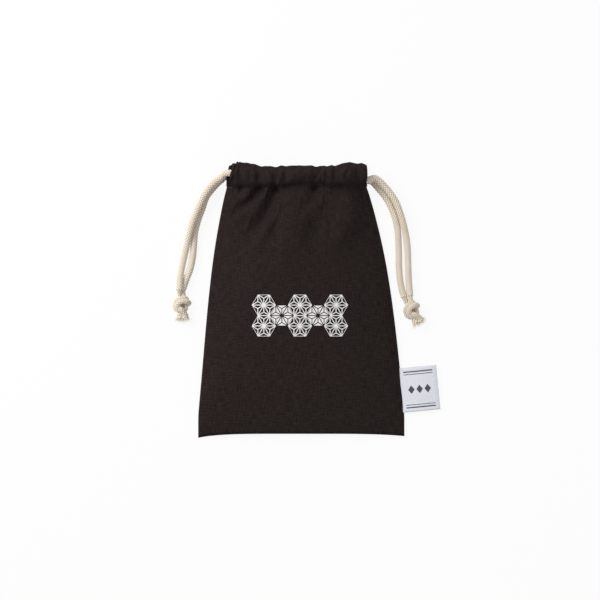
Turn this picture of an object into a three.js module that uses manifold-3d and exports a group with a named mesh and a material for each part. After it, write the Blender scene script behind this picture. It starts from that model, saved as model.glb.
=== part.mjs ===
// A drawstring pouch of black cotton, with two braided drawcords and a folded side label.
// Millimetres, +Z up. The pouch lies on its back with its mouth towards +Y.
// The origin is on the surface that it lies on, under the middle of the bag.

import * as THREE from "three";
import { mergeVertices } from "three/addons/utils/BufferGeometryUtils.js";
import Module from "manifold-3d";

const wasm = await Module();
wasm.setup();

// Driving dimensions of the bag
const bagWidth = 150; // laid flat, from side seam to side seam
const bagLength = 200; // from the bottom fold to the top fold
const drawnWidth = 102; // across the casing, gathered on the drawcords
const drawnShift = -3.3; // the gathered mouth lies a little to the left of the middle
const clothThickness = 0.65;
const casingDepth = 19; // from the top fold to the stitch line
const hemTurn = 3; // the hem goes on below the stitch line by this much
const seamDepth = 3.2; // the turned side seam, measured inwards
const cornerRadius = 3;
const fullness = 17; // the height of the bag where it is thickest
const fullestY = 28;
const mouthGap = 6; // between the front and the back casing, at the middle

// Driving dimensions of the drawcords
const cordDiameter = 4.6;
const cordClearance = 0.3; // between a cord and the casing, and from cord to cord
const laneInset = 4.8; // from the stitch line to the middle of the lower cord
const bightInset = 7.5; // a cord turns back this far inside the end of the casing
const cordSides = 8;
const knotLength = 6; // between the two turns of a knot
const tailLength = 6.5; // of the cut ends below a knot
const endGap = 0.3; // between a drawcord's end and its knot
const knotEntry = 6; // how far the drawcord goes on into its knot
const restingClearance = 0.05; // a knot lies this far above the surface

// Driving dimensions of the side label
const labelHeight = 32.5; // along the side seam
const labelReach = 26.5; // out of the seam, to its fold
const labelSheet = 0.3; // the thickness of one layer
const labelFoldGap = 0.5; // between its two layers
const labelTuck = 1.8; // how far it goes into the seam
const labelRise = 33; // from the bottom fold to the middle of the label
const labelSlotClearance = 0.3;

// Each gather is a valley that the drawcords fold into the cloth.
// at: its place across the casing, from -1 to 1; depth and width: of the valley at the stitch line;
// reach: how far it runs down the bag; stray: how far it wanders to the right on its way down
const frontGathers = [
  { at: -0.9, depth: 1.0, width: 1.8, reach: 9, stray: 0 },
  { at: -0.75, depth: 2.0, width: 2.0, reach: 18, stray: -0.8 },
  { at: -0.57, depth: 2.6, width: 1.9, reach: 26, stray: -2.5 },
  { at: -0.31, depth: 3.4, width: 2.3, reach: 40, stray: -9 },
  { at: -0.16, depth: 1.8, width: 1.7, reach: 14, stray: -5 },
  { at: 0.04, depth: 2.2, width: 2.2, reach: 20, stray: -4.5 },
  { at: 0.28, depth: 3.4, width: 2.2, reach: 34, stray: -7 },
  { at: 0.45, depth: 2.6, width: 1.9, reach: 22, stray: -1 },
  { at: 0.62, depth: 1.8, width: 2.0, reach: 14, stray: 1 },
  { at: 0.84, depth: 2.4, width: 2.0, reach: 26, stray: 1.2 },
];
const backGathers = [
  { at: -0.86, depth: 1.2, width: 2.2, reach: 14, stray: 0 },
  { at: -0.68, depth: 1.6, width: 1.9, reach: 22, stray: -1 },
  { at: -0.5, depth: 1.2, width: 2.2, reach: 14, stray: 0.6 },
  { at: -0.31, depth: 1.7, width: 2.0, reach: 26, stray: -2.4 },
  { at: -0.11, depth: 1.2, width: 2.2, reach: 16, stray: 0.8 },
  { at: 0.08, depth: 1.6, width: 1.9, reach: 22, stray: 1.2 },
  { at: 0.27, depth: 1.2, width: 2.2, reach: 14, stray: 0 },
  { at: 0.46, depth: 1.7, width: 2.0, reach: 26, stray: 1.2 },
  { at: 0.65, depth: 1.2, width: 2.2, reach: 16, stray: 0.8 },
  { at: 0.85, depth: 1.6, width: 1.9, reach: 20, stray: 0 },
];

// Worked out from the driving dimensions
const bottomY = -bagLength / 2;
const topY = bagLength / 2;
const stitchY = topY - casingDepth;
const labelCentreY = bottomY + labelRise;
const cordRadius = cordDiameter / 2;
const casingSlack = 0.15; // the casing is not quite tight round a cord, even in a valley
const casingHalf = cordRadius + cordClearance + clothThickness + casingSlack; // half its thickness there
const frontPuff = 2.6; // how far the casing stands out between two gathers
const backPuff = 1.2;
const hemWave = 0.3; // the same, on the side of the mouth
const backCasingZ = casingHalf + backPuff;
const frontCasingZ = backCasingZ + 2 * (casingHalf + hemWave) + mouthGap;
const frontCasingEndZ = backCasingZ + 2 * (casingHalf + hemWave) + 0.4;
const lowerLaneY = stitchY + laneInset;
const upperLaneY = lowerLaneY + cordDiameter + 2 * cordClearance;

const { abs, cos, exp, max, min, PI, sign, sin, sqrt } = Math;
const lerp = THREE.MathUtils.lerp;
const smooth = (value) => THREE.MathUtils.smoothstep(value, 0, 1);

// Solids and meshes
function solidOf(geometry) {
  const bare = geometry.clone();
  bare.deleteAttribute("normal");
  bare.deleteAttribute("uv");
  const merged = mergeVertices(bare, 1e-4);
  const vertProperties = new Float32Array(merged.attributes.position.array);
  const triVerts = new Uint32Array(merged.index.array);
  return new wasm.Manifold(new wasm.Mesh({ numProp: 3, vertProperties, triVerts }));
}

function geometryOf(solid) {
  const { vertProperties, triVerts, numProp, numVert } = solid.getMesh();
  const positions = new Float32Array(numVert * 3);
  for (let i = 0; i < numVert; i += 1) {
    positions.set(vertProperties.subarray(i * numProp, i * numProp + 3), i * 3);
  }
  const geometry = new THREE.BufferGeometry();
  geometry.setAttribute("position", new THREE.BufferAttribute(positions, 3));
  geometry.setIndex(new THREE.BufferAttribute(new Uint32Array(triVerts), 1));
  geometry.computeVertexNormals();
  return geometry;
}

// A closed body through sections that follow each other. A section is a pair of rows of points,
// over and under, that run the same way; the first and the last section are closed off.
function loft(sections) {
  const perRow = sections[0].over.length;
  const perRing = perRow * 2;
  const positions = [];
  for (const { over, under } of sections) {
    for (const point of [...over, ...under.toReversed()]) positions.push(point.x, point.y, point.z);
  }
  const index = [];
  for (let s = 0; s < sections.length - 1; s += 1) {
    for (let i = 0; i < perRing; i += 1) {
      const a = s * perRing + i;
      const b = s * perRing + ((i + 1) % perRing);
      index.push(a, b, a + perRing, b, b + perRing, a + perRing);
    }
  }
  const last = (sections.length - 1) * perRing;
  for (let i = 0; i < perRow - 1; i += 1) {
    const j = perRing - 1 - i;
    index.push(i, j, i + 1, i + 1, j, j - 1);
    index.push(last + i, last + i + 1, last + j, last + i + 1, last + j - 1, last + j);
  }
  const geometry = new THREE.BufferGeometry();
  geometry.setAttribute("position", new THREE.Float32BufferAttribute(positions, 3));
  geometry.setIndex(index);
  return geometry;
}

// The plan of the bag: its sides come together evenly at first, and faster near the gathered mouth
const cornerHeight = 15; // below this the sides run straight up
const evenTaper = 0.75; // the share of the taper that is even
function drawnShare(y) {
  const start = bottomY + cornerHeight;
  return THREE.MathUtils.clamp((y - start) / (stitchY - start), 0, 1);
}

function halfWidth(y) {
  const missing = max(0, cornerRadius - max(0, y - bottomY));
  const cornerCut = cornerRadius - sqrt(max(0, cornerRadius ** 2 - missing ** 2));
  const share = drawnShare(y);
  const taper = lerp(share ** 4, share, evenTaper);
  return bagWidth / 2 - ((bagWidth - drawnWidth) / 2) * taper - cornerCut;
}

function centreX(y) {
  return drawnShift * drawnShare(y) ** 1.6;
}

const bottomLift = 2; // the bottom fold is pulled up a little where the bag is full
const bottomEdge = (across) => bottomY + bottomLift * (1 - across ** 4);

const topSag = 3.2; // the top fold is lower in the middle than at its ends
function topFold(across) {
  const corner = 3.5 * abs(across) ** 16;
  return topY - topSag * (1 - across ** 4) - corner - 0.3 * valley(frontGathers, across, 0);
}

// How deep the gathers are at a place across the bag and a distance below the stitch line
const gatherHalf = drawnWidth / 2;

function gatherAt({ at, reach, stray }, below) {
  return at + (stray * (1 - exp(-max(0, below) / reach))) / gatherHalf;
}

function valley(gathers, across, below) {
  return gathers.reduce((sum, gather) => {
    const off = ((across - gatherAt(gather, below)) * gatherHalf) / gather.width;
    return sum + gather.depth * exp(-off * off) * exp(-((max(0, below) / gather.reach) ** 1.5));
  }, 0);
}

function crest(gathers, across) {
  const deepest = max(...gathers.map((gather) => gather.depth));
  return 1 - min(1, valley(gathers, across, 0) / deepest);
}

// Columns stand in each valley, on its two flanks and on the crest between two valleys
function columnsOf(gathers, below = 0) {
  const columns = [-1];
  let before = -1;
  for (const gather of gathers) {
    const at = gatherAt(gather, below);
    const flank = gather.width / gatherHalf;
    columns.push((before + at - flank) / 2, at - flank, at, at + flank);
    before = at + flank;
  }
  columns.push((before + 1) / 2, 1);
  return columns;
}

// Heights of the outer faces of the bag
const seamTop = 3.3;
const seamBottom = 0.9;
const swellAlong = 0.42; // the front falls off to the bottom fold by this power, a round end has 0.5
const swellAcross = 0.55; // the same, to the side seams
const frontCasingMid = (across) =>
  lerp(frontCasingZ, frontCasingEndZ, across ** 4);

function crown(y) {
  if (y < fullestY) {
    const away = (fullestY - y) / (fullestY - bottomY + 0.4);
    return seamTop + (fullness - seamTop) * (1 - away * away) ** swellAlong;
  }
  const away = (y - fullestY) / (stitchY - fullestY);
  return lerp(fullness, frontCasingZ + clothThickness, away * away);
}

function frontHeight(across, y) {
  const pillow = lerp(seamTop, crown(y), max(0, 1 - across * across) ** swellAcross);
  const atStitch = frontCasingMid(across) + clothThickness;
  const height = lerp(pillow, atStitch, smooth(1 - (stitchY - y) / 34));
  return height - valley(frontGathers, across, stitchY - y);
}

function backHeight(across, y) {
  const resting = seamBottom * abs(across) ** 10;
  const height = lerp(resting, backCasingZ - clothThickness, smooth(1 - (stitchY - y) / 20));
  const lifted = valley(backGathers, across, stitchY - y) * smooth(1 - (stitchY - y) / 40);
  return height + lifted;
}

// The bag below the stitch line, as rows of the front and the back. inset is what a layer takes away.
const bagRows = [0, 0.012, 0.04, 0.1, 0.2, 0.34, 0.5, 0.64, 0.76, 0.85, 0.91, 0.95, 0.98];

function bagSection(rowY, sideInset, layer, lift = 0) {
  const place = (column, heightAt, under) => {
    const y = max(rowY, bottomEdge(column) + lift);
    const side = 1 - sideInset / halfWidth(y);
    const across = THREE.MathUtils.clamp(column, -side, side);
    const height = heightAt(across, y);
    const x = centreX(y) + across * halfWidth(y);
    return new THREE.Vector3(x, y, under ? height + layer : height - layer);
  };
  return {
    over: columnsOf(frontGathers, stitchY - rowY).map((across) => place(across, frontHeight, false)),
    under: columnsOf(backGathers, stitchY - rowY).map((across) => place(across, backHeight, true)),
  };
}

function bagOutside() {
  const rows = bagRows.map((share) => bagSection(lerp(bottomY, stitchY, share), 0, 0, share * 8));
  return solidOf(loft([...rows, bagSection(stitchY, 0, 0), bagSection(stitchY + stitchLap, 0, 0)]));
}

function bagInside() {
  const sections = bagRows.slice(1).map((share, i) => {
    const layer = i ? clothThickness : clothThickness * 0.9;
    return bagSection(lerp(bottomY, stitchY - hemTurn - 0.5, share), seamDepth, layer, 1.6 + share * 8);
  });
  sections.push(bagSection(stitchY - hemTurn - 0.5, seamDepth, clothThickness));
  sections.push(bagSection(stitchY - hemTurn, seamDepth, 2 * clothThickness));
  sections.push(bagSection(stitchY, seamDepth, 2 * clothThickness));
  sections.push(bagSection(stitchY + 1.2, seamDepth, 3 * clothThickness));
  return solidOf(loft(sections));
}

// A casing: the hem folded over and stitched down, with the drawcords inside it.
// side is 1 for the front casing, which puffs upwards, and -1 for the back one.
const casingRows = [0, 0.07, 0.2, 0.42, 0.64, 0.86, 1];
const tunnelRows = [0, 0.15, 0.42, 0.7, 0.9, 1];
const endSlant = 10; // the casing's end is cut back on the side of the mouth
const stitchLap = 1; // the casing and the bag go into each other by this much at the stitch line
const tunnelRise = 1.8; // the cloth is sewn flat for this far above the stitch line

const casings = {
  front: { side: 1, gathers: frontGathers, puff: frontPuff, mid: frontCasingMid },
  back: { side: -1, gathers: backGathers, puff: backPuff, mid: () => backCasingZ },
};

function casingSection(casing, across, rows, layer, beyond = 0) {
  const { side, gathers, puff, mid } = casing;
  const slant = smooth(2 * abs(across) - 1) * endSlant * sign(across);
  const foldY = topFold(across) - layer;
  const startY = layer ? stitchY + tunnelRise : stitchY - stitchLap;
  const point = (row, outwards) => {
    const y = lerp(startY, foldY, row);
    const share = (y - stitchY + stitchLap) / (topFold(across) - stitchY + stitchLap);
    const pinched = valley(gathers, across, 0) * (1 - smooth(share / 0.25));
    const round = casingHalf * sqrt(max(0, 1 - abs(2 * share - 1) ** 3));
    const half = max(1.45 * clothThickness, round) - layer;
    const wave = (outwards ? puff : hemWave) * crest(gathers, across) * max(0, sin(PI * share)) ** 0.8;
    const cutBack = outwards || layer ? 0 : slant * smooth(share / 0.3);
    const x = centreX(stitchY) + across * gatherHalf + beyond - cutBack;
    const height = mid(across) - side * pinched + (outwards ? side : -side) * (max(half, 0.12) + wave);
    return new THREE.Vector3(x, y, height);
  };
  const outer = rows.map((row) => point(row, true));
  const inner = rows.map((row) => point(row, false));
  return side > 0 ? { over: inner, under: outer } : { over: outer, under: inner };
}

function casingOutside(casing) {
  const columns = columnsOf(casing.gathers);
  return solidOf(loft(columns.map((across) => casingSection(casing, across, casingRows, 0))));
}

function tunnel(casing) {
  const sections = columnsOf(casing.gathers).map((across) =>
    casingSection(casing, across, tunnelRows, clothThickness),
  );
  const past = endSlant;
  sections.unshift(casingSection(casing, -1, tunnelRows, clothThickness, -past));
  sections.push(casingSection(casing, 1, tunnelRows, clothThickness, past));
  return solidOf(loft(sections));
}

// The label is caught in the right side seam, so it leaves the seam at a right angle to it
const seamX = (y) => centreX(y) + halfWidth(y);
const labelTilt = Math.atan2(seamX(labelCentreY - 10) - seamX(labelCentreY + 10), 20);
const labelZ = (seamTop + seamBottom) / 2;
const labelFoldRadius = labelFoldGap / 2 + labelSheet;

function placedAtSeam(geometry) {
  geometry.rotateZ(labelTilt);
  geometry.translate(seamX(labelCentreY), labelCentreY, labelZ);
  return geometry;
}

function labelSlot() {
  const height = 2 * (labelFoldRadius + labelSlotClearance);
  const depth = labelTuck + labelSlotClearance;
  const slot = new THREE.BoxGeometry(2 * depth, labelHeight + 2 * labelSlotClearance, height);
  return solidOf(placedAtSeam(slot));
}

function labelGeometry() {
  const straight = labelReach - labelFoldRadius;
  const outline = new THREE.Shape();
  outline.moveTo(-labelTuck, labelFoldRadius);
  outline.lineTo(straight, labelFoldRadius);
  outline.absarc(straight, 0, labelFoldRadius, PI / 2, -PI / 2, true);
  outline.lineTo(-labelTuck, -labelFoldRadius);
  outline.lineTo(-labelTuck, -labelFoldGap / 2);
  outline.lineTo(straight, -labelFoldGap / 2);
  outline.absarc(straight, 0, labelFoldGap / 2, -PI / 2, PI / 2, false);
  outline.lineTo(-labelTuck, labelFoldGap / 2);
  outline.closePath();
  const strip = new THREE.ExtrudeGeometry(outline, {
    depth: labelHeight,
    bevelEnabled: false,
    curveSegments: 6,
  });
  strip.rotateX(PI / 2);
  strip.translate(0, labelHeight / 2, 0);
  return placedAtSeam(strip);
}

function pouchGeometry() {
  const outside = bagOutside().add(casingOutside(casings.front)).add(casingOutside(casings.back));
  const hollow = bagInside().add(tunnel(casings.front)).add(tunnel(casings.back));
  return geometryOf(outside.subtract(hollow).subtract(labelSlot()));
}

// The free strands of the drawcords, from the end of the casing to the knot. Each point is x, y, z.
const strands = {
  left: {
    front: [
      [-60.2, 88.6, 10.6], [-66.0, 84.4, 9.4], [-71.2, 77.4, 8.3], [-75.8, 68.6, 7.6],
      [-79.2, 58.8, 7.0], [-81.8, 48.2, 6.2], [-84.4, 36.4, 4.4], [-87.0, 27.0, 2.7],
      [-88.9, 19.0, 2.4], [-89.9, 11.5, 2.4], [-90.2, 6.2, 3.0],
    ],
    back: [
      [-59.6, 88.8, 3.0], [-64.8, 84.0, 2.5], [-69.4, 76.4, 2.4], [-72.8, 67.4, 2.4],
      [-75.6, 57.6, 2.4], [-77.8, 47.4, 2.4], [-79.4, 38.0, 2.4], [-80.6, 29.9, 2.4],
      [-82.2, 22.0, 2.4], [-84.0, 13.6, 2.6], [-85.2, 6.2, 3.4],
    ],
  },
  right: {
    front: [
      [53.6, 86.4, 10.4], [59.6, 83.2, 9.0], [65.4, 77.6, 7.0], [70.0, 70.2, 4.8],
      [73.5, 61.8, 3.0], [75.8, 53.8, 2.4], [77.4, 45.0, 2.4], [78.5, 36.2, 2.4],
      [79.0, 27.4, 2.4], [79.4, 18.6, 2.4], [79.9, 9.7, 2.6], [80.4, 2.2, 3.2],
    ],
    back: [
      [52.6, 84.2, 3.2], [58.0, 78.8, 2.5], [62.4, 72.0, 2.4], [65.9, 64.3, 2.4],
      [68.5, 55.6, 2.4], [70.2, 46.8, 2.4], [71.1, 38.0, 2.4], [71.5, 29.2, 2.4],
      [72.0, 20.3, 2.4], [73.3, 10.7, 2.5], [75.3, 2.2, 3.1],
    ],
  },
};

const drawcords = {
  left: { side: -1, laneY: upperLaneY, knot: [-87.4, 0], knotTurn: 0.04 },
  right: { side: 1, laneY: lowerLaneY, knot: [78.9, -4.4], knotTurn: 0.5 },
};

// A curve whose steps follow its points, so that a tight turn gets as many as a long straight run
class CordLine extends THREE.CatmullRomCurve3 {
  getUtoTmapping(u) {
    return u;
  }
}

// A drawcord runs out of one knot, through the front casing, round its far end,
// back through the back casing and to the same knot.
function cordGeometry({ side, laneY }, { front, back }) {
  const middle = centreX(stitchY);
  const half = drawnWidth / 2;
  const acrossAt = (x) => THREE.MathUtils.clamp((x - middle) / half, -1, 1);
  const exitX = middle + side * (half + 1);
  const turnX = middle - side * (half - bightInset);
  const inFront = (x) => new THREE.Vector3(x, laneY, frontCasingMid(acrossAt(x)));
  const atBack = (x) => new THREE.Vector3(x, laneY, backCasingZ);
  const lanePoints = (make, from, to, count) =>
    Array.from({ length: count + 1 }, (_, i) => make(lerp(from, to, i / count)));
  const startOfTurn = inFront(turnX);
  const radius = (startOfTurn.z - backCasingZ) / 2;
  const bight = [1, 2, 3].map((i) => {
    const angle = (i * PI) / 4;
    const x = turnX - side * radius * sin(angle);
    return new THREE.Vector3(x, laneY, backCasingZ + radius * (1 + cos(angle)));
  });
  const points = [
    ...front.toReversed().map((point) => new THREE.Vector3(...point)),
    ...lanePoints(inFront, exitX, turnX, 8),
    ...bight,
    ...lanePoints(atBack, turnX, exitX, 5),
    ...back.map((point) => new THREE.Vector3(...point)),
  ];
  const section = new THREE.Shape();
  section.absarc(0, 0, cordRadius, 0, 2 * PI);
  return new THREE.ExtrudeGeometry(section, {
    extrudePath: new CordLine(points, false, "centripetal"),
    steps: points.length - 1,
    curveSegments: cordSides / 2,
  });
}

// Both ends of a drawcord are tied together in one overhand knot: they pass under a first turn,
// round a second one, and end in two short tails that fan out. It is made pointing down the -Y axis.
function knotTurnRing(along, size, tilt) {
  const ring = new THREE.TorusGeometry(cordRadius * size, cordRadius, 8, 14);
  ring.rotateX(PI / 2 + tilt);
  ring.scale(1, 1.1, 0.8);
  ring.translate(0, along, 0);
  return ring;
}

function knotTail(turn) {
  const start = -knotLength;
  const profile = [
    [0, 0],
    [cordRadius, 0],
    [cordRadius * 1.15, -tailLength],
    [cordRadius * 1.35, -tailLength - 3],
    [0, -tailLength - 3.4],
  ].map(([radius, along]) => new THREE.Vector2(radius, along));
  const tail = new THREE.LatheGeometry(profile.toReversed(), 10);
  tail.rotateZ(turn);
  tail.translate(sign(turn) * cordRadius * 0.8, start, 0);
  return tail;
}

function knotStub(strand) {
  const [before, end] = strand.slice(-2).map((point) => new THREE.Vector3(...point));
  const run = end.clone().sub(before).normalize();
  const stub = new THREE.CylinderGeometry(cordRadius, cordRadius, knotEntry, cordSides);
  stub.applyQuaternion(new THREE.Quaternion().setFromUnitVectors(new THREE.Vector3(0, 1, 0), run));
  stub.translate(...end.addScaledVector(run, endGap + knotEntry / 2).toArray());
  return stub;
}

function knotGeometry({ knot, knotTurn }, { front, back }) {
  const core = new THREE.SphereGeometry(cordRadius * 1.8, 12, 9);
  core.scale(1, 1.5, 0.9);
  core.translate(0, -knotLength / 2, 0);
  const body = [knotTurnRing(0, 1.25, 0.3), knotTurnRing(-knotLength, 1.5, -0.25), core];
  const loose = [...body, knotTail(-0.16), knotTail(0.16)].map(solidOf);
  const tied = geometryOf(loose.reduce((sum, piece) => sum.add(piece)));
  tied.computeBoundingBox();
  const resting = restingClearance - tied.boundingBox.min.z;
  tied.rotateZ(knotTurn);
  tied.translate(...knot, resting);
  const stubs = [front, back].map((strand) => solidOf(knotStub(strand)));
  return geometryOf(stubs.reduce((sum, stub) => sum.add(stub), solidOf(tied)));
}

// Materials
const cottonBlack = new THREE.MeshStandardMaterial({ color: 0x2a2221, roughness: 0.95, metalness: 0 });
const cottonEcru = new THREE.MeshStandardMaterial({ color: 0xe6d9c4, roughness: 0.95, metalness: 0 });
const labelWhite = new THREE.MeshStandardMaterial({ color: 0xe4e4ee, roughness: 0.7, metalness: 0 });

function piece(name, geometry, material) {
  const mesh = new THREE.Mesh(geometry, material);
  mesh.name = name;
  return mesh;
}

const pouch = new THREE.Group();
pouch.add(piece("pouch_cloth", pouchGeometry(), cottonBlack));
pouch.add(piece("side_label", labelGeometry(), labelWhite));
for (const [name, cord] of Object.entries(drawcords)) {
  pouch.add(piece(`${name}_drawcord`, cordGeometry(cord, strands[name]), cottonEcru));
  pouch.add(piece(`${name}_knot`, knotGeometry(cord, strands[name]), cottonEcru));
}

export default pouch;
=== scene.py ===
import math
import random

import bmesh
import bpy
from mathutils import Matrix, Vector, noise
from mathutils.bvhtree import BVHTree
from mathutils.geometry import interpolate_bezier


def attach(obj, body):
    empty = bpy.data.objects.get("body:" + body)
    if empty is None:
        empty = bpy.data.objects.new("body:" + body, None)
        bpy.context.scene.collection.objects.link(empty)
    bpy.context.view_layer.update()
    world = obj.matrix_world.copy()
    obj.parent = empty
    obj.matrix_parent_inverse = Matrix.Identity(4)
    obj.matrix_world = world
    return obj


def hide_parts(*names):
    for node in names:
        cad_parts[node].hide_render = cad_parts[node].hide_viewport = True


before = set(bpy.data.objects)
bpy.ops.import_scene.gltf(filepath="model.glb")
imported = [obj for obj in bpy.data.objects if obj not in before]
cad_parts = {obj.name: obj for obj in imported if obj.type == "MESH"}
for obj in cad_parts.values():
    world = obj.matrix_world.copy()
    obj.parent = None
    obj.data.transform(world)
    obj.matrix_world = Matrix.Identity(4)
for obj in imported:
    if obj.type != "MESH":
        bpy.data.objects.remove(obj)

scene = bpy.context.scene
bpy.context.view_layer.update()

# The pouch lies on a table and is looked at from straight above, through a short telephoto lens.
# At the level of its cloth the view is 437 mm wide, a little more than twice the pouch's length.
MM = 0.001
VIEW_WIDTH = 436.8 * MM
VIEW_CENTRE = Vector((-0.95, -0.78, 8.0)) * MM
LENS = 85

camera_data = bpy.data.cameras.new("camera")
camera_data.lens = LENS
camera = bpy.data.objects.new("camera", camera_data)
camera.location = VIEW_CENTRE + Vector((0, 0, VIEW_WIDTH * LENS / camera_data.sensor_width))
scene.collection.objects.link(camera)
scene.camera = camera


# Each drawcord is soft round cotton cord, 5 mm thick and plaited from twelve ecru yarns.
# It runs in through the front casing, turns back round the far end of the mouth, and comes out
# of the back casing beside itself. Its two free strands hang down the side of the bag.
CORD_RADIUS = 2.45 * MM
SQUEEZED_RADIUS = 2.15 * MM  # inside the casings
YARNS_EACH_WAY = 6
PLAIT_PITCH = 13.2 * MM  # along the cord, one turn of a yarn
YARN_RISE = 0.45 * MM  # how far a yarn stands out over the ones that it crosses
CORD_SIDES = 48
CORD_STEP = 0.45 * MM
STRAND_INSIDE = 9 * MM  # how far a free strand reaches into its casing
CASING_MIDDLE_X = -3.3 * MM
CASING_HALF_WIDTH = 51 * MM
BACK_LANE_Z, FRONT_LANE_Z, FRONT_LANE_END_Z = 4.6 * MM, 18.0 * MM, 12.4 * MM
TURN_INSET = 11.5 * MM  # from the end of the casing to where a cord turns back

DRAWCORDS = {
    "left_drawcord": {
        "side": -1,
        "lane_y": 91.0 * MM,
        "front": [
            (-58.6, 88.2, 10.6), (-64.1, 84.1, 9.4), (-70.2, 76.4, 8.2), (-74.9, 66.6, 7.6),
            (-78.8, 57.6, 7.2), (-81.4, 48.8, 6.4), (-83.5, 40.0, 4.6), (-85.6, 31.3, 3.0),
            (-87.6, 22.5, 2.8), (-88.6, 13.8, 4.8), (-89.0, 6.2, 6.4),
        ],
        "back": [
            (-57.4, 88.0, 3.2), (-62.2, 83.7, 2.7), (-69.2, 75.0, 2.6), (-72.4, 66.2, 2.6),
            (-75.6, 57.5, 2.6), (-77.8, 48.8, 2.6), (-78.6, 40.0, 2.6), (-79.4, 31.3, 2.6),
            (-81.1, 22.5, 2.6), (-84.3, 13.8, 2.6), (-86.9, 6.2, 2.8),
        ],
        "knot": {"name": "left_knot", "place": (-87.4, 0.0), "turn": 0.04},
    },
    "right_drawcord": {
        "side": 1,
        "lane_y": 86.4 * MM,
        "front": [
            (53.6, 87.6, 10.4), (58.6, 84.0, 9.0), (64.6, 77.2, 7.6), (69.2, 70.2, 6.6),
            (72.4, 61.8, 5.8), (74.8, 53.8, 4.4), (76.8, 45.0, 2.8), (77.8, 36.2, 2.6),
            (78.1, 27.4, 2.6), (78.4, 18.6, 2.6), (78.9, 9.7, 2.7), (79.6, 2.2, 3.2),
        ],
        "back": [
            (52.4, 85.2, 3.2), (56.6, 80.6, 2.7), (61.4, 74.8, 2.6), (65.6, 67.4, 2.6),
            (69.0, 58.0, 2.6), (70.7, 48.8, 2.6), (71.1, 40.0, 2.6), (71.4, 31.2, 2.6),
            (71.5, 22.4, 2.6), (72.3, 13.8, 2.6), (73.8, 6.0, 2.8), (75.2, 1.4, 3.1),
        ],
        "knot": {"name": "right_knot", "place": (78.9, -4.4), "turn": 0.5},
    },
}


def linear(colour):
    """The linear RGBA that a shader takes, from an sRGB colour such as "#f2ead8"."""
    channels = [int(colour[i:i + 2], 16) / 255 for i in (1, 3, 5)]
    return (*[c / 12.92 if c <= 0.04045 else ((c + 0.055) / 1.055) ** 2.4 for c in channels], 1)


def add_node(material, kind, inputs=None, **settings):
    """Adds a node with its settings; each input is given a value, or is linked to an output."""
    node = material.node_tree.nodes.new("ShaderNode" + kind)
    for name, value in settings.items():
        setattr(node, name, value)
    for name, value in (inputs or {}).items():
        if isinstance(value, bpy.types.NodeSocket):
            material.node_tree.links.new(value, node.inputs[name])
        else:
            node.inputs[name].default_value = value
    return node


def new_material(name, roughness, colour=None):
    material = bpy.data.materials.new(name)
    material.use_nodes = True
    surface = material.node_tree.nodes["Principled BSDF"]
    surface.inputs["Roughness"].default_value = roughness
    if colour:
        surface.inputs["Base Color"].default_value = linear(colour)
    return material, surface


def plaited_cotton():
    """Undyed cotton yarn, plaited: matt and a little fuzzy, with painted shade, a browner colour, down
    between the yarns.
    """
    material, surface = new_material("ecru_plaited_cotton", 0.9)
    crevice = add_node(material, "Attribute", attribute_name="crevice").outputs["Fac"]
    around = add_node(material, "UVMap", uv_map="plait").outputs["UV"]
    # cotton fibres, drawn 0.15 mm wide because real ones of 0.02 mm don't show
    fibres = add_node(material, "Mapping", {"Vector": around, "Scale": (6000, 900, 1)})
    fibre = add_node(material, "TexNoise", {"Vector": fibres.outputs["Vector"], "Scale": 1.0, "Detail": 3.0})
    uneven = add_node(material, "TexNoise", {"Vector": around, "Scale": 90.0, "Detail": 2.0})
    yarn = add_node(material, "ValToRGB", {"Fac": uneven.outputs["Fac"]})
    yarn.color_ramp.elements[0].position, yarn.color_ramp.elements[1].position = 0.3, 0.7
    yarn.color_ramp.elements[0].color = linear("#efe5d3")
    yarn.color_ramp.elements[1].color = linear("#f6eee0")
    # painted shade: the colour is mixed towards brown down in the crevices between the yarns, where shade
    # falls
    shade = add_node(material, "MapRange", {"Value": crevice, "From Min": 0.5, "From Max": 1.0})
    colour = add_node(
        material, "Mix",
        {"Factor": shade.outputs["Result"], "A": yarn.outputs["Color"], "B": linear("#a5845a")},
        data_type="RGBA", blend_type="MIX",
    )
    height = add_node(
        material, "Math", {0: fibre.outputs["Fac"], 1: crevice}, operation="SUBTRACT",
    )
    bump = add_node(material, "Bump", {"Height": height.outputs[0], "Strength": 0.5, "Distance": 0.1 * MM})
    links = material.node_tree.links
    links.new(colour.outputs["Result"], surface.inputs["Base Color"])
    links.new(bump.outputs["Normal"], surface.inputs["Normal"])
    surface.inputs["Sheen Weight"].default_value = 0.15
    surface.inputs["Specular IOR Level"].default_value = 0.25
    return material


ecru_cotton = plaited_cotton()


def smooth_line(points, step=CORD_STEP):
    """A smooth line through the points, cut into equal steps."""
    ends = [points[0] * 2 - points[1], *points, points[-1] * 2 - points[-2]]
    fine = [points[0]]
    for before, start, end, after in zip(ends, ends[1:], ends[2:], ends[3:]):
        fine += interpolate_bezier(start, start + (end - before) / 6, end - (after - start) / 6, end, 24)[1:]
    return even_steps(fine, step)


def line_length(line):
    return sum((b - a).length for a, b in zip(line, line[1:]))


def even_steps(line, step):
    count = max(2, round(line_length(line) / step))
    step = line_length(line) / count
    even, walked, wanted = [line[0].copy()], 0, step
    for a, b in zip(line, line[1:]):
        span = (b - a).length
        while walked + span >= wanted and len(even) < count:
            even.append(a.lerp(b, (wanted - walked) / span))
            wanted += step
        walked += span
    return [*even, line[-1].copy()]


def frames_along(line):
    """For each point of a line, two directions across it that don't twist from one to the next."""
    frames = []
    across = None
    for i, point in enumerate(line):
        ahead = (line[min(i + 1, len(line) - 1)] - line[max(i - 1, 0)]).normalized()
        across = across or ahead.orthogonal()
        across = (across - ahead * across.dot(ahead)).normalized()
        frames.append((across, ahead.cross(across)))
    return frames


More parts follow.
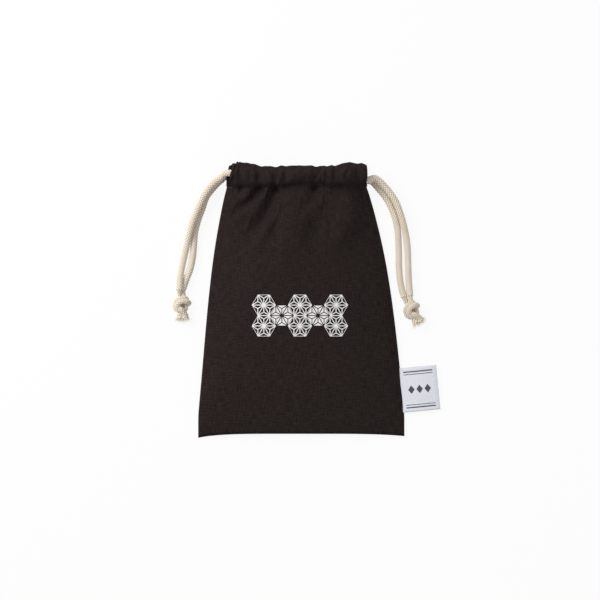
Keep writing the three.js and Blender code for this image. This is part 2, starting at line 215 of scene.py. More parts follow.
def yarn_height(turn, along):
    """How far the plait stands out there, from 0 in a crevice to 1 on top of a yarn."""
    one = YARNS_EACH_WAY * (turn / (2 * math.pi) + along / PLAIT_PITCH)
    other = YARNS_EACH_WAY * (turn / (2 * math.pi) - along / PLAIT_PITCH)
    on_top = (math.floor(one) + math.floor(other)) % 2
    over, under = (one, other) if on_top else (other, one)
    return abs(math.sin(math.pi * over)) ** 1.1 * abs(math.sin(math.pi * under)) ** 0.6


def add_plaited_tube(bm, line, radius=CORD_RADIUS, flare=0):
    """Adds a closed plaited tube along a line, with its last 5 mm opened out by the flare."""
    plait = bm.loops.layers.uv.get("plait") or bm.loops.layers.uv.new("plait")
    crevice = bm.verts.layers.float.get("crevice") or bm.verts.layers.float.new("crevice")
    last = len(line) - 1
    step = line_length(line) / last
    grid = bmesh.ops.create_grid(bm, x_segments=CORD_SIDES, y_segments=last, size=0.5)["verts"]
    for loop in {loop for vert in grid for loop in vert.link_loops}:
        round_it, along_it = loop.vert.co.x + 0.5, loop.vert.co.y + 0.5
        loop[plait].uv = round_it * 2 * math.pi * radius, along_it * last * step
    frames = frames_along(line)
    for vert in grid:
        turn = (vert.co.x + 0.5) * 2 * math.pi
        i = round((vert.co.y + 0.5) * last)
        height = yarn_height(turn, i * step)
        opened = flare * max(0, 1 - (last - i) * step / (5 * MM)) ** 1.5
        across, up = frames[i]
        out = across * math.cos(turn) + up * math.sin(turn)
        vert[crevice] = 1 - height
        vert.co = line[i] + out * (radius + opened + YARN_RISE * (height - 0.7))
    bmesh.ops.remove_doubles(bm, verts=grid, dist=0.001 * MM)
    rims = [edge for edge in bm.edges if edge.is_boundary]
    bmesh.ops.holes_fill(bm, edges=rims, sides=0)


def finished_piece(name, bm, material, node=None):
    """Turns a bmesh into an object that rides on the pouch, and stands for a CAD node if one is given."""
    bmesh.ops.recalc_face_normals(bm, faces=bm.faces)
    for face in bm.faces:
        face.smooth = True
    mesh = bpy.data.meshes.new(name)
    bm.to_mesh(mesh)
    bm.free()
    mesh.materials.append(material)
    piece = bpy.data.objects.new(name, mesh)
    scene.collection.objects.link(piece)
    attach(piece, "root")
    if node:
        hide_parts(node)
    return piece


def mix(a, b, share):
    return a + (b - a) * share


def front_lane_z(across):
    """The height of the cords in the front casing, across from -1 at its left end to 1 at its right."""
    return mix(FRONT_LANE_Z, FRONT_LANE_END_Z, across**4)


def lane_point(cord, distance_in, front):
    """A point of the cord in its casing, at a distance in from the end where the cord comes out."""
    x = CASING_MIDDLE_X + cord["side"] * (CASING_HALF_WIDTH - distance_in)
    across = min(1, abs(x - CASING_MIDDLE_X) / CASING_HALF_WIDTH)
    return Vector((x, cord["lane_y"], front_lane_z(across) if front else BACK_LANE_Z))


def strand_line(cord, face):
    inside = [lane_point(cord, distance, face == "front") for distance in (STRAND_INSIDE, 5 * MM, -1 * MM)]
    return smooth_line([*inside, *[Vector(point) * MM for point in cord[face]]])


def casing_line(cord):
    """From the front casing's mouth to its far end, round the turn, and back along the back casing."""
    far = 2 * CASING_HALF_WIDTH - TURN_INSET
    reach = [mix(STRAND_INSIDE - 0.5 * MM, far, i / 8) for i in range(9)]
    front = [lane_point(cord, distance, True) for distance in reach]
    back = [lane_point(cord, distance, False) for distance in reversed(reach)]
    radius = (front[-1].z - back[0].z) / 2
    turn = [
        back[0] + Vector((-cord["side"] * radius * math.sin(angle), 0, radius * (1 + math.cos(angle))))
        for angle in (math.pi / 4, math.pi / 2, 3 * math.pi / 4)
    ]
    return smooth_line([*front, *turn, *back])


strands = {}
for name, cord in DRAWCORDS.items():
    bm = bmesh.new()
    add_plaited_tube(bm, casing_line(cord), SQUEEZED_RADIUS)
    finished_piece(name + "_in_casings", bm, ecru_cotton, name)
    for face in ("front", "back"):
        line = strand_line(cord, face)
        bm = bmesh.new()
        add_plaited_tube(bm, line)
        strand = finished_piece(f"{name}_{face}_strand", bm, ecru_cotton, name)
        strands[name, face] = strand, line


# Both ends of a drawcord are tied together in one overhand knot, pulled tight, so that the soft cord
# is squeezed in it. Their cut ends stick out below, opened out into loose cotton fibres.
KNOT_CORD_RADIUS = 1.85 * MM
KNOT_SPACING = 1.75 * MM  # from the middle of the pair to each of the two cords
KNOT_DROP = 2.4 * MM  # from the end of the strands to the middle of the knot
TAIL_FLARE = 1.1 * MM
FIBRES_PER_TAIL = 150
FIBRE_LENGTH = 4.4 * MM
KNOT_ROUTE = [  # the way of the pair of cords through the knot, in mm
    (0.6, 2.6, -0.4), (1.6, -1.5, -1.4), (1.2, -5.2, -1.0), (-2.4, -6.2, 0.8), (-4.3, -2.4, 2.0),
    (-1.5, 1.2, 3.2), (3.0, 1.6, 2.0), (4.2, 0.4, -0.8), (1.5, 0.2, -3.0), (-2.6, -0.4, -2.4),
    (-2.7, -3.0, 0.4), (-0.5, -6.4, 1.6), (0.0, -9.2, 0.8), (0.0, -11.6, 0.0),
]


def add_fibre(bm, start, way, rng):
    """One loose fibre from the cut end of a cord, thinner and more bent towards its tip."""
    tip = start + way * FIBRE_LENGTH * rng.uniform(0.4, 1.0)
    bend = Vector((rng.uniform(-1, 1), rng.uniform(-1, 1), rng.uniform(-0.6, 0.6))) * 0.7 * MM
    ring = None
    for i in range(5):
        share = i / 4
        centre = start.lerp(tip, share) + bend * share**2
        width = mix(0.14, 0.03, share) * MM
        verts = bmesh.ops.create_circle(bm, segments=4, radius=width)["verts"]
        turned = way.to_track_quat("Z", "Y").to_matrix().to_4x4()
        bmesh.ops.transform(bm, verts=verts, matrix=Matrix.Translation(centre) @ turned)
        edges = list({edge for vert in verts for edge in vert.link_edges})
        if ring:
            bmesh.ops.bridge_loops(bm, edges=ring + edges)
        ring = edges


def knot_pieces(cord, rng):
    """The knot itself, and the loose fibres of its cut ends."""
    knot = cord["knot"]
    place = Matrix.Translation(Vector((*knot["place"], 3.4)) * MM) @ Matrix.Rotation(knot["turn"], 4, "Z")
    route = [place @ (Vector(point) * MM - Vector((0, KNOT_DROP, 0))) for point in KNOT_ROUTE]
    middle = smooth_line(route)
    bm, frayed = bmesh.new(), bmesh.new()
    ends = [cord["front"][-2:], cord["back"][-2:]]
    sides = sorted(ends, key=lambda end: end[-1][0])
    for way, end in zip((-1, 1), sides):
        before, last = (Vector(point) * MM for point in end)
        entry = [last - (last - before).normalized() * 1.5 * MM, last]
        beside = []
        for i in range(0, len(middle), 6):
            ahead = (middle[min(i + 1, len(middle) - 1)] - middle[max(i - 1, 0)]).normalized()
            outward = (middle[i] - place @ Vector((0, -KNOT_DROP - 2 * MM, 0))).normalized()
            across = ahead.cross(outward).normalized()
            if beside and across.dot(previous) < 0:
                across = -across
            previous = across
            beside.append(middle[i] + across * KNOT_SPACING * way)
        line = smooth_line([*entry, *beside])
        line = [Vector((point.x, point.y, max(point.z, KNOT_CORD_RADIUS + 0.2 * MM))) for point in line]
        add_plaited_tube(bm, line, KNOT_CORD_RADIUS, TAIL_FLARE)
        out = (line[-1] - line[-4]).normalized()
        for _ in range(FIBRES_PER_TAIL):
            spread = Vector((rng.uniform(-1, 1), rng.uniform(-1, 1), rng.uniform(-1, 1)))
            start = line[-1] + (spread - out * spread.dot(out)) * 1.9 * MM
            start.z = max(start.z, 0.5 * MM)
            add_fibre(frayed, start - out * 0.6 * MM, (out + spread * 0.8).normalized(), rng)
    for vert in [*bm.verts, *frayed.verts]:
        vert.co.z = max(vert.co.z, 0.1 * MM)
    return [
        finished_piece(knot["name"] + "_tied", bm, ecru_cotton, knot["name"]),
        finished_piece(knot["name"] + "_frayed_ends", frayed, ecru_cotton, knot["name"]),
    ]


rng = random.Random(7)
for name, cord in DRAWCORDS.items():
    knot = knot_pieces(cord, rng)
    for face in ("front", "back"):
        strand, line = strands[name, face]


# The bag and both of its casings are one black cotton cloth, folded at the bottom and sewn up the sides.
# At the mouth its two ends are folded in and stitched down as casings, which the drawcords gather.
# It is laid out as the gathered bag stands, and a cloth simulation then settles the gathers.
CLOTH_HALF_WIDTH = 75.5 * MM
CLOTH_THICKNESS = 0.5 * MM
BOTTOM, STITCH, TOP = -100 * MM, 81 * MM, 100 * MM
CASING_DEPTH = 22 * MM  # of cloth, which the cords round out to a height of 16 to 19 mm
SPARE_CLOTH = 1.003
COLUMNS, BODY_ROWS, CASING_ROWS = 96, 44, 9
ROWS = BODY_ROWS + 2 * CASING_ROWS  # up the body, up the outside of the casing, down its inside
FULLEST_Y, FULLEST_Z = 28 * MM, 16.4 * MM
SEAM_Z, STITCH_SEAM_Z = 1.9 * MM, 8.4 * MM
CASING_BULGE = 3.4 * MM
STITCH_GROOVE = 1.7 * MM  # how far the stitches pull the front down between the casing and the bag

# the creases across the casings: place across from -1 to 1, then depth, width, reach down the bag
# and stray to the right on the way down, in mm
FRONT_GATHERS = [
    (-0.92, 1.4, 1.8, 4, 0), (-0.77, 3.2, 1.8, 6, -2), (-0.655, 2.4, 1.5, 4, -1),
    (-0.515, 4.8, 2.2, 7, -2), (-0.425, 1.8, 1.5, 4, -1), (-0.315, 5.2, 2.0, 8, -2),
    (-0.165, 2.8, 1.7, 4, -2), (0.1, 1.6, 3.6, 5, -1), (0.26, 5.0, 2.1, 8, -2),
    (0.33, 2.2, 1.3, 4, -2), (0.41, 3.2, 1.3, 5, -2), (0.52, 2.8, 1.6, 5, -3),
    (0.6, 1.6, 1.6, 3, 0), (0.72, 1.0, 2.4, 4, 0), (0.86, 4.6, 2.5, 8, 1),
]
BACK_GATHERS = [
    (-0.86, 1.4, 2.2, 14, 0), (-0.68, 1.8, 1.9, 22, -1), (-0.5, 1.4, 2.2, 14, 0.6),
    (-0.31, 2.0, 2.0, 26, -2.4), (-0.11, 1.4, 2.2, 16, 0.8), (0.08, 1.8, 1.9, 22, 1.2),
    (0.27, 1.4, 2.2, 14, 0), (0.46, 2.0, 2.0, 26, 1.2), (0.65, 1.4, 2.2, 16, 0.8),
    (0.85, 1.8, 1.9, 20, 0),
]

# the soft folds that fan out below the casing, each as points on its way down: distance below the
# stitches, place across from the middle of the casing, height and width, in mm
FRONT_FOLDS = [
    [(0, -39.5, -2.4, 2.2), (4, -41, -1.5, 2.4), (9, -45, 0, 3)],
    [(0, -34, 1.6, 3.0), (6.7, -35.5, 2.4, 3.2), (12.4, -44, 2.2, 3.2), (18, -49, 0, 3)],
    [(0, -28, -3.8, 2.6), (6.7, -29.6, -4.2, 2.8), (12.4, -36.6, -4.0, 3.2), (19.6, -45, -2.8, 3.6),
     (27, -51, 0, 4)],
    [(0, -21, 1.4, 2.8), (6.7, -22, 3.0, 3.4), (12.4, -27, 3.6, 3.8), (19.6, -32, 3.8, 4.4),
     (29.7, -37.7, 3.4, 5), (36, -41, 1.8, 5.4), (46, -46, 0, 6)],
    [(0, -16, -3.8, 2.4), (6.7, -15.9, -4.2, 2.8), (12.4, -20.4, -4.0, 3.2), (19.6, -25, -4.0, 3.4),
     (29.7, -30.6, -3.8, 3.8), (36, -33, -2.4, 4.2), (47, -37.5, 0, 5)],
    [(0, 7, 2.4, 12), (6.7, 6, 4.6, 13), (12.4, 5, 5.2, 14), (19.6, 3, 5.2, 15), (29.7, 0, 4.6, 16),
     (41, -5, 2.8, 16), (56, -11, 0, 15)],
    [(0, 13, -3.6, 2.8), (6.7, 12, -4.2, 3.4), (12.4, 8, -4.2, 3.6), (19, 8.5, -2.2, 4), (26, 9, 0, 4.4)],
    [(12, 14, 0, 4), (20, 13.5, -1.8, 4.6), (29.7, 12, -2.4, 5.4), (40, 10, -1.2, 6.5), (52, 8, 0, 8)],
    [(0, 23, 0.8, 3), (4, 24.5, 1.4, 3.4), (14, 24, 0, 4)],
    [(0, 42, 1.0, 8), (9.5, 39.6, 3.4, 10.5), (20, 37, 5.4, 11), (29.7, 35.8, 5.8, 11), (37, 32, 3.6, 11),
     (50, 28, 0, 10)],
    [(0, 47, -5.0, 2.8), (6.7, 47, -5.2, 3.0), (12.4, 49, -4.6, 3.2), (20, 52, -3.4, 3.6), (36, 55, 0, 4)],
]


def ease(share):
    share = min(1, max(0, share))
    return share * share * (3 - 2 * share)


def drawn_share(y):
    start = BOTTOM + 15 * MM
    return min(1, max(0, (y - start) / (STITCH - start)))


def half_width(y):
    share = drawn_share(y)
    narrowed = CLOTH_HALF_WIDTH - CASING_HALF_WIDTH
    return CLOTH_HALF_WIDTH - narrowed * mix(share**4, share, 0.62)


def centre_x(y):
    return CASING_MIDDLE_X * drawn_share(y) ** 2


def valley(gathers, across, below, up=0):
    """How deep the cloth lies between the crests of its gathers, below the stitches or up the casing."""
    below = max(0, below)
    total = 0
    for at, depth, width, reach, stray in gathers:
        reach, stray = reach * MM, stray * MM
        place = at + stray * (1 - math.exp(-below / reach) - 0.5 * up) / CASING_HALF_WIDTH
        off = (across - place) * CASING_HALF_WIDTH / (width * MM)
        total += depth * MM * math.exp(-off * off - (below / reach) ** 1.5)
    return total


def soft_folds(x, below):
    total = 0
    for fold in FRONT_FOLDS:
        for start, end in zip(fold, fold[1:]):
            if start[0] * MM <= below < end[0] * MM:
                share = (below / MM - start[0]) / (end[0] - start[0])
                place, height, width = (mix(a, b, share) * MM for a, b in zip(start[1:], end[1:]))
                total += height * math.exp(-(((x - CASING_MIDDLE_X - place) / width) ** 2))
    return total


def crown(y):
    """The height of the filled-out front along its middle."""
    if y < FULLEST_Y:
        away = (FULLEST_Y - y) / (FULLEST_Y - BOTTOM + 0.4 * MM)
        return mix(SEAM_Z, FULLEST_Z, max(0, 1 - away * away) ** 0.42)
    return mix(FULLEST_Z, FRONT_LANE_Z, ((y - FULLEST_Y) / (STITCH - FULLEST_Y)) ** 2)


def body_point(side, across, y):
    below = max(0, STITCH - y)
    seam = mix(SEAM_Z, STITCH_SEAM_Z, ease(1 - below / (30 * MM)))
    held = 1 - across**8  # the gathers and folds end at the side seams
    x = centre_x(y) + across * half_width(y)
    if side > 0:
        pillow = mix(seam, crown(y), max(0, 1 - across * across) ** 0.55)
        gathered = mix(seam, front_lane_z(across), max(0, held) ** 0.5)
        z = mix(pillow, gathered, ease(1 - below / (34 * MM)))
        groove = STITCH_GROOVE * math.exp(-((below / (1.8 * MM)) ** 1.5))
        z += (soft_folds(x, below) - groove - 0.45 * valley(FRONT_GATHERS, across, below)) * held
    else:
        resting = mix(0.5 * MM, seam, abs(across) ** 10)
        gathered = mix(seam, BACK_LANE_Z, max(0, held) ** 0.5)
        near = ease(1 - below / (34 * MM))
        z = mix(resting, gathered, ease(1 - below / (20 * MM)))
        z += valley(BACK_GATHERS, across, below) * held * near
    return Vector((x, y, z))


def casing_point(side, across, way):
    """way runs from 0 at the stitches over 1 at the top fold to 2 at the hem, by the stitches again."""
    outside = way <= 1
    share = way if outside else 2 - way
    gathers = FRONT_GATHERS if side > 0 else BACK_GATHERS
    hollow = valley(gathers, across, 0, share)
    held = 1 - across**8
    end_sag = -0.8 if across < 0 else -0.3
    sag = mix(2.7, end_sag, ease((abs(across) - 0.45) / 0.35)) * MM
    sag += 3.0 * MM * abs(across) ** 16 + 0.25 * hollow
    middle = front_lane_z(across) if side > 0 else BACK_LANE_Z
    seam = mix(STITCH_SEAM_Z, middle, ease(share / 0.35))
    middle = mix(middle, seam, 1 - held)
    sewn_down = (STITCH_GROOVE if side > 0 else 0) + (0.45 if side > 0 else 1) * hollow
    pinched = sewn_down * (1 - ease(share / 0.16)) * held
    bulge = CASING_BULGE * math.sqrt(max(0, 1 - (2 * share - 1) ** 2))
    crest = 1 - min(1, hollow / (4.2 * MM if side > 0 else 2 * MM))
    puff = ((3.6 if side > 0 else 2.0) if outside else 0.6) * MM
    wave = puff * crest * max(0, math.sin(math.pi * share)) ** 0.9
    layer = 0 if outside else 0.7 * MM * (1 - ease(share / 0.2))  # the hem lies inside the outer layer
    z = middle - side * (pinched + layer) + (side if outside else -side) * (bulge + wave)
    # at the left end the back casing's corner shows past the front one's, which is drawn in
    drawn_in = 2.6 * share**2 - ease(share * 2) if side < 0 else 2.2 * ease(share * 2.5) + 2.4 * share**3
    x = centre_x(STITCH) + across * CASING_HALF_WIDTH + drawn_in * MM * ease((-across - 0.8) / 0.2)
    return Vector((x, mix(STITCH, TOP - sag, share), z))


def body_y(row, across):
    share = row / BODY_ROWS
    share = share * (1.3 - 0.3 * share)
    corner = 0.5 + 1.2 * max(0, -across) ** 6  # the left corner hangs a little lower
    return mix(BOTTOM + (2 * (1 - across**4) - corner) * MM, STITCH, share)


def gathered_point(side, row, column):
    across = 2 * column / COLUMNS - 1
    if row <= BODY_ROWS:
        return body_point(side, across, body_y(row, across))
    return casing_point(side, across, (row - BODY_ROWS) / CASING_ROWS)


def flat_places(side):
    """Where the cloth's points lie when the bag is pressed flat: as far apart as they are on its folds."""
    points = [[gathered_point(side, row, column) for column in range(COLUMNS + 1)] for row in range(ROWS + 1)]
    flat = {}
    along = [BOTTOM] * (COLUMNS + 1)
    for row in range(ROWS + 1):
        walked = [0]
        for a, b in zip(points[row], points[row][1:]):
            walked.append(walked[-1] + (b - a).length * SPARE_CLOTH)
        for column, distance in enumerate(walked):
            if row:
                step = (points[row][column] - points[row - 1][column]).length * SPARE_CLOTH
                along[column] += step if row <= BODY_ROWS + CASING_ROWS else -step
            flat[row, column] = Vector((distance - walked[-1] / 2, along[column], 0))
    return flat


def cloth_uv(side, row, column):
    """Where that point lies on the unfolded cloth, in metres."""
    across = 2 * column / COLUMNS - 1
    if row <= BODY_ROWS:
        v = body_y(row, across)
    else:
        v = STITCH + CASING_DEPTH * (row - BODY_ROWS) / CASING_ROWS
    return across * CLOTH_HALF_WIDTH, v if side > 0 else 2 * BOTTOM - v


def laid_out_cloth(scale):
    """Both halves of the cloth as grids, joined at the bottom fold and at the side seams."""
    bm = bmesh.new()
    uv = bm.loops.layers.uv.new("cloth")
    layers = {key: bm.verts.layers.int.new(key) for key in ("side", "row", "column")}
    front = {}
    welds = {}
    for side in (1, -1):
        verts = bmesh.ops.create_grid(bm, x_segments=COLUMNS, y_segments=ROWS, size=0.5)["verts"]
        for vert in verts:
            column = round((vert.co.x + 0.5) * COLUMNS)
            row = round((vert.co.y + 0.5) * ROWS)
            vert[layers["side"]], vert[layers["row"]], vert[layers["column"]] = side, row, column
            for loop in vert.link_loops:
                loop[uv].uv = cloth_uv(side, row, column)
            if side > 0:
                front[row, column] = vert
            elif row == 0 or (row <= BODY_ROWS and column in (0, COLUMNS)):
                welds[vert] = front[row, column]
        for vert in verts:
            spot = [vert[layers[key]] for key in ("side", "row", "column")]
            vert.co = gathered_point(*spot) * scale
        if side < 0:
            bmesh.ops.reverse_faces(bm, faces=list({face for vert in verts for face in vert.link_faces}))
    bmesh.ops.weld_verts(bm, targetmap=welds)
    sharp = bm.edges.layers.float.new("crease_edge")
    for edge in bm.edges:
        if all(vert[layers["row"]] == 0 or vert[layers["column"]] in (0, COLUMNS) for vert in edge.verts):
            edge[sharp] = 1
    for face in bm.faces:
        face.smooth = True
    mesh = bpy.data.meshes.new("pouch_cloth")
    bm.to_mesh(mesh)
    bm.free()
    return mesh


def grid_places(mesh):
    """The side, row and column of each of the cloth's points."""
    keys = [[item.value for item in mesh.attributes[key].data] for key in ("side", "row", "column")]
    return list(zip(*keys))


def held_weight(row, column):
    """How firmly the cords, the seams and the table hold a point of the cloth in its place."""
    across = 2 * column / COLUMNS - 1
    end = abs(across) ** 6
    if row in (0, BODY_ROWS, ROWS) or (row < BODY_ROWS and column in (0, COLUMNS)):
        return 1.0
    if row < BODY_ROWS:
        return mix(0.15 + 0.25 * ease(1 - (BODY_ROWS - row) / 14), 0.35, end)
    if row == BODY_ROWS + CASING_ROWS:
        return mix(0.7, 1, end)
    return mix(0.1, 0.95, end) if row < BODY_ROWS + CASING_ROWS else mix(0.3, 0.95, end)


SIM_SCALE = 10  # the solver's settings suit larger cloth
SIM_FRAMES = 18


def settled_cloth():
    """The cloth after the simulation."""
    mesh = laid_out_cloth(SIM_SCALE)
    cloth = bpy.data.objects.new("cloth_to_settle", mesh)
    scene.collection.objects.link(cloth)
    places = grid_places(mesh)
    for vert in mesh.vertices:
        vert.co.z += 0.2 * MM * SIM_SCALE * noise.noise(Vector((vert.co.x, vert.co.y, 0)) * 6)
    cloth.shape_key_add(name="gathered")
    pressed = cloth.shape_key_add(name="pressed_flat")
    held = cloth.vertex_groups.new(name="held")
    flat = {side: flat_places(side) for side in (1, -1)}
    for i, (side, row, column) in enumerate(places):
        pressed.data[i].co = flat[side][row, column] * SIM_SCALE
        held.add([i], held_weight(row, column), "REPLACE")
    solver = cloth.modifiers.new("settle", "CLOTH")
    settings = solver.settings
    settings.rest_shape_key = pressed
    settings.vertex_group_mass = "held"
    settings.quality = 8
    settings.mass = 0.3
    settings.tension_stiffness = settings.compression_stiffness = 40
    settings.shear_stiffness = 4
    settings.bending_stiffness = 4
    settings.tension_damping = settings.compression_damping = settings.shear_damping = 8
    settings.air_damping = 3
    settings.use_pressure = True
    settings.uniform_pressure_force = 0.4
    settings.effector_weights.gravity = 0
    solver.collision_settings.use_collision = False
    solver.collision_settings.use_self_collision = True
    solver.collision_settings.self_distance_min = 0.007
    solver.collision_settings.collision_quality = 3
    solver.point_cache.frame_start, solver.point_cache.frame_end = 1, SIM_FRAMES
    for step in range(1, SIM_FRAMES + 1):
        scene.frame_set(step)
    seen = cloth.evaluated_get(bpy.context.evaluated_depsgraph_get())
    settled = bpy.data.meshes.new_from_object(seen)
    settled.transform(Matrix.Scale(1 / SIM_SCALE, 4))
    bpy.data.objects.remove(cloth)
    return settled


def keep_clear_of_cords(mesh):
    """Lifts the casings off the two cords in each of them, and the bag off the table."""
    room = SQUEEZED_RADIUS + YARN_RISE + CLOTH_THICKNESS
    for vert, (side, row, column) in zip(mesh.vertices, grid_places(mesh)):
        if row > BODY_ROWS:
            across = max(-1, min(1, (vert.co.x - CASING_MIDDLE_X) / CASING_HALF_WIDTH))
            middle = front_lane_z(across) if side > 0 else BACK_LANE_Z
            outside = row < BODY_ROWS + CASING_ROWS
            out = side if outside else -side
            needed = 0
            for cord in DRAWCORDS.values():
                off = vert.co.y - cord["lane_y"]
                needed = max(needed, math.sqrt(max(0, room * room - off * off)))
            if row != BODY_ROWS + CASING_ROWS and (vert.co.z - middle) * out < needed:
                vert.co.z = middle + out * needed
        vert.co.z = max(vert.co.z, 0.15 * MM)


def plain_weave_cotton():
    """Black cotton canvas in plain weave: matt, faded to brown-black, with slubs in its threads."""
    material, surface = new_material("black_cotton_plain_weave", 0.7)
    uv = add_node(material, "UVMap", uv_map="cloth").outputs["UV"]
    place = add_node(material, "SeparateXYZ", {"Vector": uv})
    # threads 1.1 mm apart, because the real 0.5 mm wouldn't show
    waves = []
    for axis in ("X", "Y"):
        along = add_node(
            material, "Math", {0: place.outputs[axis], 1: math.pi / (1.1 * MM)}, operation="MULTIPLY"
        )
        waves.append(add_node(material, "Math", {0: along.outputs[0]}, operation="SINE").outputs[0])
    crossing = add_node(material, "Math", {0: waves[0], 1: waves[1]}, operation="MULTIPLY").outputs[0]
    thread = add_node(material, "Math", {0: crossing}, operation="ABSOLUTE").outputs[0]
    # slubs: threads that are thicker for 6 to 12 mm, across and along the cloth
    slubs = []
    for scale in ((1300, 160, 1), (160, 1300, 1)):
        stretched = add_node(material, "Mapping", {"Vector": uv, "Scale": scale}).outputs["Vector"]
        slub = add_node(material, "TexNoise", {"Vector": stretched, "Scale": 1.0, "Detail": 2.0})
        slubs.append(slub.outputs["Fac"])
    slub = add_node(material, "Math", {0: slubs[0], 1: slubs[1]}, operation="ADD").outputs[0]
    tone = add_node(material, "Math", {0: crossing, 1: 0.14, 2: slub}, operation="MULTIPLY_ADD").outputs[0]
    shade = add_node(material, "MapRange", {"Value": tone, "From Min": 0.75, "From Max": 1.3})
    colour = add_node(material, "ValToRGB", {"Fac": shade.outputs["Result"]})
    colour.color_ramp.elements[0].color = linear("#1f1817")
    colour.color_ramp.elements[1].color = linear("#312928")
    height = add_node(material, "Math", {0: slub, 1: 0.6, 2: thread}, operation="MULTIPLY_ADD").outputs[0]
    bump = add_node(material, "Bump", {"Height": height, "Strength": 0.6, "Distance": 0.12 * MM})
    links = material.node_tree.links
    links.new(colour.outputs["Color"], surface.inputs["Base Color"])
    links.new(bump.outputs["Normal"], surface.inputs["Normal"])
    surface.inputs["Specular IOR Level"].default_value = 0.04
    return material


black_cotton = plain_weave_cotton()
cloth_mesh = settled_cloth()
keep_clear_of_cords(cloth_mesh)
cloth_mesh.materials.append(black_cotton)
bag = bpy.data.objects.new("pouch_bag", cloth_mesh)
scene.collection.objects.link(bag)
rounding = bag.modifiers.new("rounding", "SUBSURF")
rounding.levels = rounding.render_levels = 1
wall = bag.modifiers.new("wall", "SOLIDIFY")
wall.thickness = CLOTH_THICKNESS
wall.offset = -1
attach(bag, "root")
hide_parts("pouch_cloth")
cloth_at = dict(zip(grid_places(cloth_mesh), [vert.co.copy() for vert in cloth_mesh.vertices]))
bpy.context.view_layer.update()
bag_surface = BVHTree.FromObject(bag, bpy.context.evaluated_depsgraph_get())


# Each casing is stitched down with one row of black cotton thread through both layers of the cloth.
# Only the outside of the row shows, as short stitches that shine a little more than the cloth.
STITCH_PITCH = 2.9 * MM
STITCH_LENGTH = 2.3 * MM
THREAD_RADIUS = 0.24 * MM


def sewing_thread():
    """Spun cotton thread, smoother than the cloth, so that it catches a little light."""
    material, surface = new_material("black_sewing_thread", 0.45)
    grain = add_node(material, "TexCoord").outputs["Object"]
    twist = add_node(material, "TexNoise", {"Vector": grain, "Scale": 2500.0})
    colour = add_node(material, "ValToRGB", {"Fac": twist.outputs["Fac"]})
    colour.color_ramp.elements[0].color = linear("#2a2220")
    colour.color_ramp.elements[1].color = linear("#4a403d")
    material.node_tree.links.new(colour.outputs["Color"], surface.inputs["Base Color"])
    return material


black_thread = sewing_thread()


def stitch_row(name, side):
    row = []
    for column in range(COLUMNS + 1):
        half = 1 if column in (0, COLUMNS) else side  # both halves share the points of the seams
        row.append(cloth_at[half, BODY_ROWS, column])
    line = even_steps(row, STITCH_PITCH)
    bm = bmesh.new()
    for start, end in zip(line, line[1:]):
        along = (end - start).normalized()
        verts = bmesh.ops.create_uvsphere(bm, u_segments=6, v_segments=5, radius=1)["verts"]
        shape = Matrix.Diagonal((THREAD_RADIUS, THREAD_RADIUS, STITCH_LENGTH / 2, 1))
        turned = along.to_track_quat("Z", "Y").to_matrix().to_4x4()
        near = start.lerp(end, 0.5) + Vector((0, -0.3 * MM, side * 0.35 * MM))
        place, outward = bag_surface.find_nearest(near)[:2]
        centre = place + outward * 0.08 * MM
        bmesh.ops.transform(bm, verts=verts, matrix=Matrix.Translation(centre) @ turned @ shape)
    return finished_piece(name, bm, black_thread)


casing_stitches = [stitch_row("front_casing_stitches", 1), stitch_row("back_casing_stitches", -1)]


# A screen print in white ink lies on the front: a plain hemp-leaf pattern of hexagons, five columns wide.
# The ink is a film on top of the weave, so it follows the cloth and shows the threads through it.
HEXAGON_SIDE = 8.7 * MM
PRINT_CENTRE = Vector((-1.0, -12.0, 0)) * MM
PRINT_LINE = 0.32 * MM  # half of a printed line, and half of a gap between printed leaves
INK_LIFT = 0.06 * MM
LONGEST_PRINT_EDGE = 3 * MM  # longer ones are cut, so that the film follows the cloth
PRINT_COLUMNS = 5
ABOVE_THE_BAG = 0.1


def screen_ink():
    """White screen ink: a thin rubbery film, slightly glossy, broken up a little by the threads under it."""
    material, surface = new_material("white_screen_ink", 0.6)
    grain = add_node(material, "TexCoord").outputs["Object"]
    worn = add_node(material, "TexNoise", {"Vector": grain, "Scale": 1500.0, "Detail": 2.0})
    colour = add_node(material, "ValToRGB", {"Fac": worn.outputs["Fac"]})
    colour.color_ramp.elements[0].color = linear("#c9c6c4")
    colour.color_ramp.elements[1].color = linear("#f4f3f1")
    colour.color_ramp.elements[0].position, colour.color_ramp.elements[1].position = 0.25, 0.55
    bump = add_node(material, "Bump", {"Height": worn.outputs["Fac"], "Strength": 0.4, "Distance": 0.05 * MM})
    material.node_tree.links.new(colour.outputs["Color"], surface.inputs["Base Color"])
    material.node_tree.links.new(bump.outputs["Normal"], surface.inputs["Normal"])
    return material


def add_hemp_leaf(bm, centre, filled):
    """One hexagon, cut into eighteen leaf triangles: printed full, or as the lines between them."""
    verts = bmesh.ops.create_circle(bm, cap_ends=True, segments=6, radius=HEXAGON_SIDE)["verts"]
    bmesh.ops.rotate(bm, verts=verts, matrix=Matrix.Rotation(math.pi / 6, 3, "Z"))
    bmesh.ops.translate(bm, verts=verts, vec=centre)
    leaves = list({face for vert in verts for face in vert.link_faces})
    leaves = bmesh.ops.poke(bm, faces=leaves)["faces"]
    leaves = bmesh.ops.poke(bm, faces=leaves)["faces"]
    lines = bmesh.ops.inset_individual(bm, faces=leaves, thickness=PRINT_LINE, use_even_offset=True)["faces"]
    bmesh.ops.delete(bm, geom=lines if filled else leaves, context="FACES")


